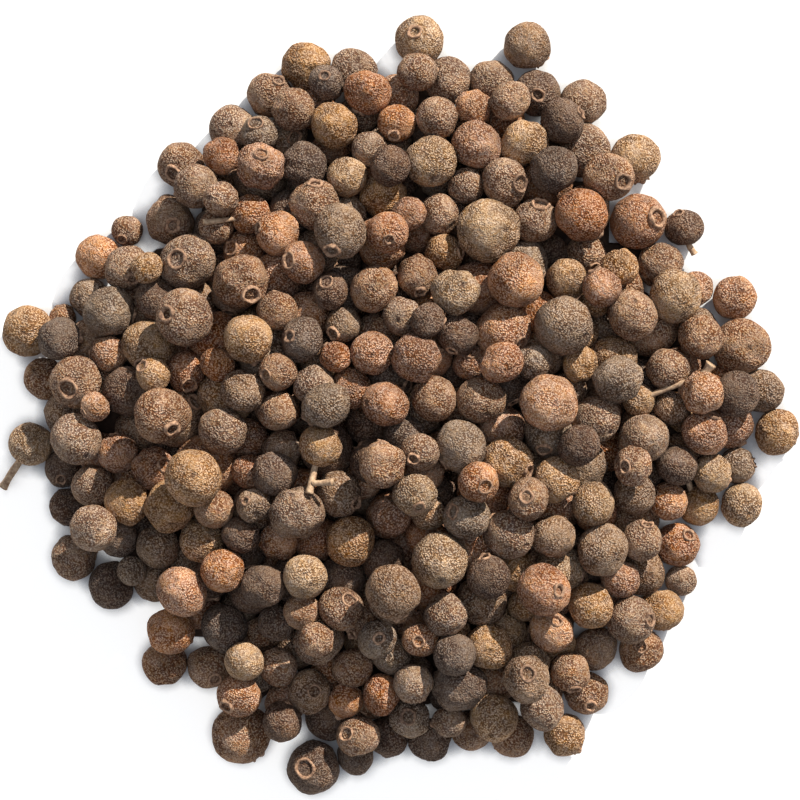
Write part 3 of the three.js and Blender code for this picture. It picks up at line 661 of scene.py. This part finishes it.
# dried berry skin: woody and matt, with close pimples; its colour is paler on the pimple tops and darker in
# the hollows between them, partly the skin's own grain and partly painted highlight and painted shade, so
# that it reads as sandy from a step away
def drySkin(name, hollowTintAndShade, skin, pimpleTintAndHighlight):
    material, tree, shader = newMaterial(name, 0.8, 0.15)
    place = addNode(tree, "ShaderNodeTexCoord").outputs["Object"]
    pimple = addNode(tree, "ShaderNodeTexVoronoi",
                     {"feature": "F1", "Scale": 1 / (skinGrain["pimple"] * mm), "Randomness": 1.0},
                     {"Vector": place})
    sand = addNode(tree, "ShaderNodeTexNoise", {"Scale": 1 / (skinGrain["sand"] * mm), "Detail": 1.0},
                   {"Vector": place})
    patch = addNode(tree, "ShaderNodeTexNoise", {"Scale": 1 / (skinGrain["patch"] * mm), "Detail": 3.0,
                                                 "Roughness": 0.6}, {"Vector": place})
    blush = addNode(tree, "ShaderNodeTexNoise", {"Scale": 1 / (skinGrain["blush"] * mm), "Detail": 2.0,
                                                 "Distortion": 0.4}, {"Vector": place})
    wrinkle = addNode(tree, "ShaderNodeTexNoise", {"Scale": 1 / (skinGrain["wrinkle"] * mm), "Detail": 3.0,
                                                   "Distortion": 0.8}, {"Vector": place})
    raised = addNode(tree, "ShaderNodeMapRange",
                     {"From Min": 0.2, "From Max": 0.7, "To Min": 0.46, "To Max": -0.54},
                     {"Value": pimple.outputs["Distance"]})
    worn = addNode(tree, "ShaderNodeMapRange",        # smoother and sandier patches
                   {"From Min": 0.38, "From Max": 0.56, "To Min": 0.25, "To Max": 1.0},
                   {"Value": blush.outputs["Fac"]})
    bumps = addNode(tree, "ShaderNodeMath", {"operation": "MULTIPLY"},
                    {0: raised.outputs["Result"], 1: worn.outputs["Result"]})
    grain = addNode(tree, "ShaderNodeMath", {"operation": "MULTIPLY_ADD", 1: 1.2},
                    {0: sand.outputs["Fac"], 2: bumps.outputs["Value"]})
    height = addNode(tree, "ShaderNodeMath", {"operation": "MULTIPLY_ADD", 1: 2.6},
                     {0: wrinkle.outputs["Fac"], 2: grain.outputs["Value"]})
    bump = addNode(tree, "ShaderNodeBump", {"Strength": 1.0, "Distance": skinGrain["height"] * mm},
                   {"Height": height.outputs["Value"]})
    tree.links.new(bump.outputs["Normal"], shader.inputs["Normal"])

    # the colour follows the grain's height: painted shade in the hollows and painted highlight on the pimple
    # tops, over the skin's own grain colour
    level = addNode(tree, "ShaderNodeMapRange", {"From Min": 0.05, "From Max": 1.05},
                    {"Value": grain.outputs["Value"]})
    colour = addRamp(tree, level.outputs["Result"], [(0.06, hollowTintAndShade), (0.4, skin), (0.76, pimpleTintAndHighlight)])
    blotch = addNode(tree, "ShaderNodeMapRange",
                     {"From Min": 0.34, "From Max": 0.66, "To Min": 0.72, "To Max": 1.24},
                     {"Value": patch.outputs["Fac"]})
    tone = addNode(tree, "ShaderNodeAttribute", {"attribute_name": "tone"})
    value = addNode(tree, "ShaderNodeMath", {"operation": "MULTIPLY"},
                    {0: blotch.outputs["Result"], 1: tone.outputs["Fac"]})
    warmth = addNode(tree, "ShaderNodeAttribute", {"attribute_name": "warmth"})
    warm = addNode(tree, "ShaderNodeMath", {"operation": "MULTIPLY_ADD", 1: 1.6},
                   {0: blush.outputs["Fac"], 2: warmth.outputs["Fac"]})
    hue = addNode(tree, "ShaderNodeMapRange",
                  {"From Min": 0.5, "From Max": 2.1, "To Min": 0.506, "To Max": 0.495},
                  {"Value": warm.outputs["Value"]})
    tint = addNode(tree, "ShaderNodeMath", {"operation": "MULTIPLY_ADD", 1: 3.9},
                   {0: wrinkle.outputs["Fac"], 2: warmth.outputs["Fac"]})
    strength = addNode(tree, "ShaderNodeMapRange",
                       {"From Min": 0.95, "From Max": 3.95, "To Min": 0.78, "To Max": 1.25},
                       {"Value": tint.outputs["Value"]})
    shade = addNode(tree, "ShaderNodeHueSaturation", {}, {"Hue": hue.outputs["Result"],
                                                          "Saturation": strength.outputs["Result"],
                                                          "Value": value.outputs["Value"],
                                                          "Color": colour})
    mark = addNode(tree, "ShaderNodeAttribute", {"attribute_name": "mark"})
    cup = addNode(tree, "ShaderNodeMix", {"data_type": "RGBA"},
                  {0: mark.outputs["Fac"], 6: shade.outputs["Color"]})
    cup.inputs[7].default_value = linear("#3f291e")        # the cup and the stalk scar, deep brown
    tree.links.new(cup.outputs[2], shader.inputs["Base Color"])
    return material


# dead calyx: thin papery wood, its fibres mottled pale and dark
def dryCalyx():
    material, tree, shader = newMaterial("dryCalyx", 0.75, 0.3)
    place = addNode(tree, "ShaderNodeTexCoord").outputs["Object"]
    fibre = addNode(tree, "ShaderNodeTexNoise", {"Scale": 1 / (0.35 * mm), "Detail": 3.0}, {"Vector": place})
    colour = addRamp(tree, fibre.outputs["Fac"], [(0.3, "#573a29"), (0.68, "#ab8564")])
    tone = addNode(tree, "ShaderNodeAttribute", {"attribute_name": "tone"})
    shade = addNode(tree, "ShaderNodeHueSaturation", {}, {"Value": tone.outputs["Fac"], "Color": colour})
    tree.links.new(shade.outputs["Color"], shader.inputs["Base Color"])
    bump = addNode(tree, "ShaderNodeBump", {"Strength": 0.5, "Distance": 0.08 * mm},
                   {"Height": fibre.outputs["Fac"]})
    tree.links.new(bump.outputs["Normal"], shader.inputs["Normal"])
    return material


# dry stalk: matt tan wood with a fine grain
def dryStalk():
    material, tree, shader = newMaterial("dryStalk", 0.8, 0.25)
    place = addNode(tree, "ShaderNodeTexCoord").outputs["Object"]
    grain = addNode(tree, "ShaderNodeTexNoise", {"Scale": 1 / (0.5 * mm), "Detail": 4.0, "Roughness": 0.65},
                    {"Vector": place})
    colour = addRamp(tree, grain.outputs["Fac"], [(0.32, "#7a5a40"), (0.68, "#c0a07c")])
    tree.links.new(colour, shader.inputs["Base Color"])
    bump = addNode(tree, "ShaderNodeBump", {"Strength": 0.6, "Distance": 0.08 * mm},
                   {"Height": grain.outputs["Fac"]})
    tree.links.new(bump.outputs["Normal"], shader.inputs["Normal"])
    return material


# per skin: hollow colour (partly painted shade), skin colour, pimple-top colour (partly painted highlight)
skins = {
    "umber": Gather("umber_berries", "berry_umber",
                    drySkin("umberSkin", "#563722", "#785740", "#a1866b")),
    "chestnut": Gather("chestnut_berries", "berry_umber",
                       drySkin("chestnutSkin", "#5e3820", "#875a3e", "#ad8a6e")),
    "cocoa": Gather("cocoa_berries", "berry_umber",
                    drySkin("cocoaSkin", "#3d281a", "#564031", "#786452")),
    "grey": Gather("grey_berries", "berry_grey",
                   drySkin("greySkin", "#4e3623", "#705640", "#98816a")),
    "russet": Gather("russet_berries", "berry_russet",
                     drySkin("russetSkin", "#683d21", "#8f6243", "#b69172")),
    "tan": Gather("tan_berries", "berry_tan",
                  drySkin("tanSkin", "#634429", "#886545", "#b39474")),
}
calyxes = Gather("calyx_rings", "calyx", dryCalyx())
print("finishes made")


# stalks, told from the middle of their berry, mm

stalks = [
    {"berry": (-51, -6), "from": (-1.2, -1.8, -0.6), "to": (-4.3, -6.3, -1.6), "thick": 1.1},
    {"berry": (33, 0), "from": (1.2, 0.4, 1.2), "to": (8.6, 3.0, 3.4), "thick": 0.9},
    {"berry": (33, 0), "from": (8.2, 2.9, 3.2), "to": (9.6, 4.9, 3.8), "thick": 1.3},
    {"berry": (-10.5, -6), "from": (-0.6, -1.8, 0.4), "to": (-1.6, -6.4, 1.4), "thick": 1.0},
    {"berry": (-10.5, -6), "from": (-1.2, -5.0, 1.2), "to": (1.6, -4.8, 2.2), "thick": 0.9},
    {"berry": (36.5, -29), "from": (-0.7, 1.9, 0.6), "to": (-1.8, 5.2, 1.6), "thick": 0.9},
    {"berry": (42, -14.5), "from": (-1.2, 1.8, 0.8), "to": (-2.6, 5.3, 2.6), "thick": 0.9},
    {"berry": (39, 24), "from": (0.4, -1.8, 0), "to": (1.6, -3.6, -0.6), "thick": 0.9},
    {"berry": (-20, 25), "from": (-1.0, -0.6, 1.2), "to": (-6.2, -1.4, 2.6), "thick": 0.8},
]
stalkShape = {"around": 12, "rows": 14, "sway": 0.25, "knob": 1.25, "ridge": 0.08}


def stalkMesh(stalk, owner):
    middle = np.array([owner.x, owner.y, owner.z])
    start = middle + stalk["from"]
    end = middle + stalk["to"]
    end[2] = max(end[2], stalk["thick"] / 2)
    along = end - start
    length = np.linalg.norm(along)
    turn = turnTo(along, anyAngle())
    angles = np.arange(stalkShape["around"]) * 2 * math.pi / stalkShape["around"]
    swayWay = anyAngle()
    ridges = anyAngle()
    points = []
    for row in range(stalkShape["rows"]):
        t = row / (stalkShape["rows"] - 1)
        radius = stalk["thick"] / 2 * (0.82 + 0.18 * t + (stalkShape["knob"] - 1) * max(0, t - 0.8) * 4)
        radius *= 1 + 0.05 * math.sin(9 * t + ridges)
        rim = radius * (1 + stalkShape["ridge"] * np.cos(5 * angles + ridges))
        sway = stalkShape["sway"] * math.sin(math.pi * t) * length / 8
        points.append(np.stack([rim * np.cos(angles) + sway * math.cos(swayWay),
                                rim * np.sin(angles) + sway * math.sin(swayWay),
                                np.full(len(angles), t * length)], axis=1))
    tip = np.array([[0, 0, length - 0.12 * stalk["thick"]], [0, 0, 0]])        # a hollow broken end
    rows, around = stalkShape["rows"], stalkShape["around"]
    faces = [face[::-1] for face in latheFaces(rows, around)]
    for k in range(around):
        n = (k + 1) % around
        faces.append((rows * around, (rows - 1) * around + k, (rows - 1) * around + n))
        faces.append((rows * around + 1, n, k))
    placed = np.concatenate(points + [tip]) @ turn.T + start
    placed[:, 2] = np.maximum(placed[:, 2], 0)
    return placed * mm, faces, [0.0] * len(placed)


stalkPiece = Gather("stalks", "stalk", dryStalk())
stalkWays = {}
for stalk in stalks:
    owner = next(b for b in heap if (b.homeX, b.homeY) == stalk["berry"] and b.hold != loose)
    stalkWays.setdefault(stalk["berry"], np.array(stalk["from"]))
    stalkPiece.add(*stalkMesh(stalk, owner), 1.0, 0.5)


def isHidden(berry):        # buried: every way up or out is closed by other berries
    openWays = 0
    for up in (0.15, 0.5, 0.85, 1.0):
        for k in range(8 if up < 1 else 1):
            way = np.array([math.cos(k * math.pi / 4) * math.sqrt(1 - up * up),
                            math.sin(k * math.pi / 4) * math.sqrt(1 - up * up), up])
            closed = False
            for other in heap:
                if other is berry:
                    continue
                gap = (other.x - berry.x, other.y - berry.y, other.z - berry.z)
                ahead = gap[0] * way[0] + gap[1] * way[1] + gap[2] * way[2]
                if ahead > 0 and gap[0] ** 2 + gap[1] ** 2 + gap[2] ** 2 - ahead ** 2 < (other.r * 0.95) ** 2:
                    closed = True
                    break
            openWays += not closed
    return openWays == 0


def calyxWay(berry):        # where its calyx points
    if len(berry.told) > 1:
        cx, cy = berry.told[1] / berry.r, berry.told[2] / berry.r
        return np.array([cx, cy, math.sqrt(max(0.02, 1 - cx * cx - cy * cy))])
    if (berry.homeX, berry.homeY) in stalkWays and berry.hold != loose:
        return -stalkWays[(berry.homeX, berry.homeY)]
    way = unitVector()
    if berry.hold != loose:
        way[2] = -abs(way[2]) - 0.1        # not seen from above
    return way


buried = 0
for berry in heap:
    own = unevenness()
    way = calyxWay(berry)
    turn = turnTo(way, anyAngle())
    hasCalyx = len(berry.told) > 1 or luck.uniform() < berryShape["calyxShare"]
    skin = berry.told[0] if berry.told else luck.choice(list(skinShares), p=list(skinShares.values()))
    tone = luck.uniform(*berryShape["tone"])
    warmth = luck.uniform()
    hidden = isHidden(berry)
    buried += hidden
    skins[skin].add(*berryMesh(berry, own, turn, hasCalyx, hidden), tone, warmth)
    if hasCalyx and not hidden:
        calyxes.add(*calyxMesh(berry, own, turn), luck.uniform(*calyxShape["tone"]), 0.5)
print("berries shaped,", buried, "of them buried")

for gather in list(skins.values()) + [calyxes, stalkPiece]:
    gather.build()


core = {
    "inset": 4.6, "rings": (1, 0.97, 0.9, 0.75, 0.55, 0.3),
    "height": (0.2, 1.4, 2.0, 2.4, 3.0, 3.0),        # mm, ring by ring; it stays under the lowest row
    "waver": 0.35,
}


# painted shade: matt and nearly black, it stands for the deep shade between the lowest berries
def paintedShadeSheet():
    material, tree, shader = newMaterial("paintedShadeSheet", 0.9, 0.1)
    place = addNode(tree, "ShaderNodeTexCoord").outputs["Object"]
    shadeMottle = addNode(tree, "ShaderNodeTexNoise", {"Scale": 1 / (1.4 * mm), "Detail": 3.0}, {"Vector": place})
    # near-black painted shade for the gaps, mottled a little
    colour = addRamp(tree, shadeMottle.outputs["Fac"], [(0.35, "#2b1f17"), (0.7, "#4a382b")])
    tree.links.new(colour, shader.inputs["Base Color"])
    return material


def coreMesh():        # a low mound that closes the lowest gaps, well inside the edge berries
    count = len(outline)
    inner = []
    for x, y in outline:
        away = 1 - core["inset"] / math.hypot(x, y)
        inner.append((x * away, y * away))
    points = [(x, y, 0) for x, y in inner]
    for share, height in zip(core["rings"], core["height"]):
        points += [(x * share, y * share, height + luck.uniform(-1, 1) * core["waver"] * min(1, height))
                   for x, y in inner]
    points += [(0, 0, 0), (0, 0, core["height"][-1])]
    foot, peak = len(points) - 2, len(points) - 1
    last = len(core["rings"]) * count
    faces = []
    for k in range(count):
        n = (k + 1) % count
        faces.append((foot, n, k))
        for ring in range(0, last, count):
            faces.append((ring + k, ring + n, ring + count + n, ring + count + k))
        faces.append((last + k, last + n, peak))
    return np.array(points) * mm, faces, [0.0] * len(points)


# the core wears the painted shade sheet
corePiece = Gather("heap_core", "berry_umber", paintedShadeSheet())
corePiece.add(*coreMesh(), 1.0, 0.5)
corePiece.build()


# surface, light and camera

studio = {
    "surface": 1.2, "surfaceGlowColour": "#f6f4f0", "glow": 0.8, "contact": 3,
    "sun": 8.0, "sunAzimuth": 57, "sunHeight": 32, "sunWidth": 1.0,
    "sky": 0.53, "skyColour": "#cfddf6", "overhead": 0.95, "overheadWidth": 40,
    "eye": 0.4, "lens": 128.6,
}


def makeSurface():        # a plain table top with a painted glow that keeps it light under the heap's shadow
    half = studio["surface"] / 2
    mesh = bpy.data.meshes.new("surface")
    corners = [(-half, -half, 0), (half, -half, 0), (half, half, 0), (-half, half, 0)]
    mesh.from_pydata(corners, [], [(0, 1, 2, 3)])
    material, tree, shader = newMaterial("laminateWithPaintedGlow", 0.6, 0.2)
    cloud = addNode(tree, "ShaderNodeTexNoise", {"Scale": 12.0, "Detail": 2.0})
    colour = addRamp(tree, cloud.outputs["Fac"], [(0, "#bab6ae"), (1, "#c4c0b9")])
    tree.links.new(colour, shader.inputs["Base Color"])
    # the surface's glow is painted light, not a lamp; this is its colour
    shader.inputs["Emission Color"].default_value = linear(studio["surfaceGlowColour"])
    near = addNode(tree, "ShaderNodeAmbientOcclusion", {"samples": 8, "Distance": studio["contact"] * mm})
    glow = addNode(tree, "ShaderNodeMapRange",        # the painted glow dims close round the berries, so shade stays only there
                   {"From Min": 0.55, "From Max": 0.88, "To Min": 0.0, "To Max": studio["glow"]},
                   {"Value": near.outputs["AO"]})
    tree.links.new(glow.outputs["Result"], shader.inputs["Emission Strength"])
    mesh.materials.append(material)
    surface = bpy.data.objects.new("surface", mesh)
    bpy.context.scene.collection.objects.link(surface)


def makeLight():
    sun = bpy.data.lights.new("sun", "SUN")
    sun.energy = studio["sun"]
    sun.angle = math.radians(studio["sunWidth"])
    lamp = bpy.data.objects.new("sun", sun)
    azimuth, height = math.radians(studio["sunAzimuth"]), math.radians(studio["sunHeight"])
    toSun = Vector((math.cos(azimuth) * math.cos(height), math.sin(azimuth) * math.cos(height),
                    math.sin(height)))
    lamp.rotation_euler = toSun.to_track_quat("Z", "Y").to_euler()
    bpy.context.scene.collection.objects.link(lamp)
    above = bpy.data.lights.new("overhead", "SUN")        # soft light that reaches down between the berries
    above.energy = studio["overhead"]
    above.color = linear(studio["skyColour"])[:3]
    above.angle = math.radians(studio["overheadWidth"])
    bpy.context.scene.collection.objects.link(bpy.data.objects.new("overhead", above))
    world = bpy.data.worlds.new("sky")
    world.use_nodes = True
    background = world.node_tree.nodes["Background"]
    background.inputs["Color"].default_value = linear(studio["skyColour"])
    background.inputs["Strength"].default_value = studio["sky"]
    bpy.context.scene.world = world


def makeCamera():        # straight down on the heap
    camera = bpy.data.cameras.new("camera")
    camera.lens = studio["lens"]
    camera.sensor_width = 36
    camera.clip_start = 0.01
    eye = bpy.data.objects.new("camera", camera)
    eye.location = (0, 0, studio["eye"])
    bpy.context.scene.collection.objects.link(eye)
    bpy.context.scene.camera = eye


makeSurface()
makeLight()
makeCamera()
bpy.context.scene.view_settings.view_transform = "Standard"
print("surface, light and camera set")
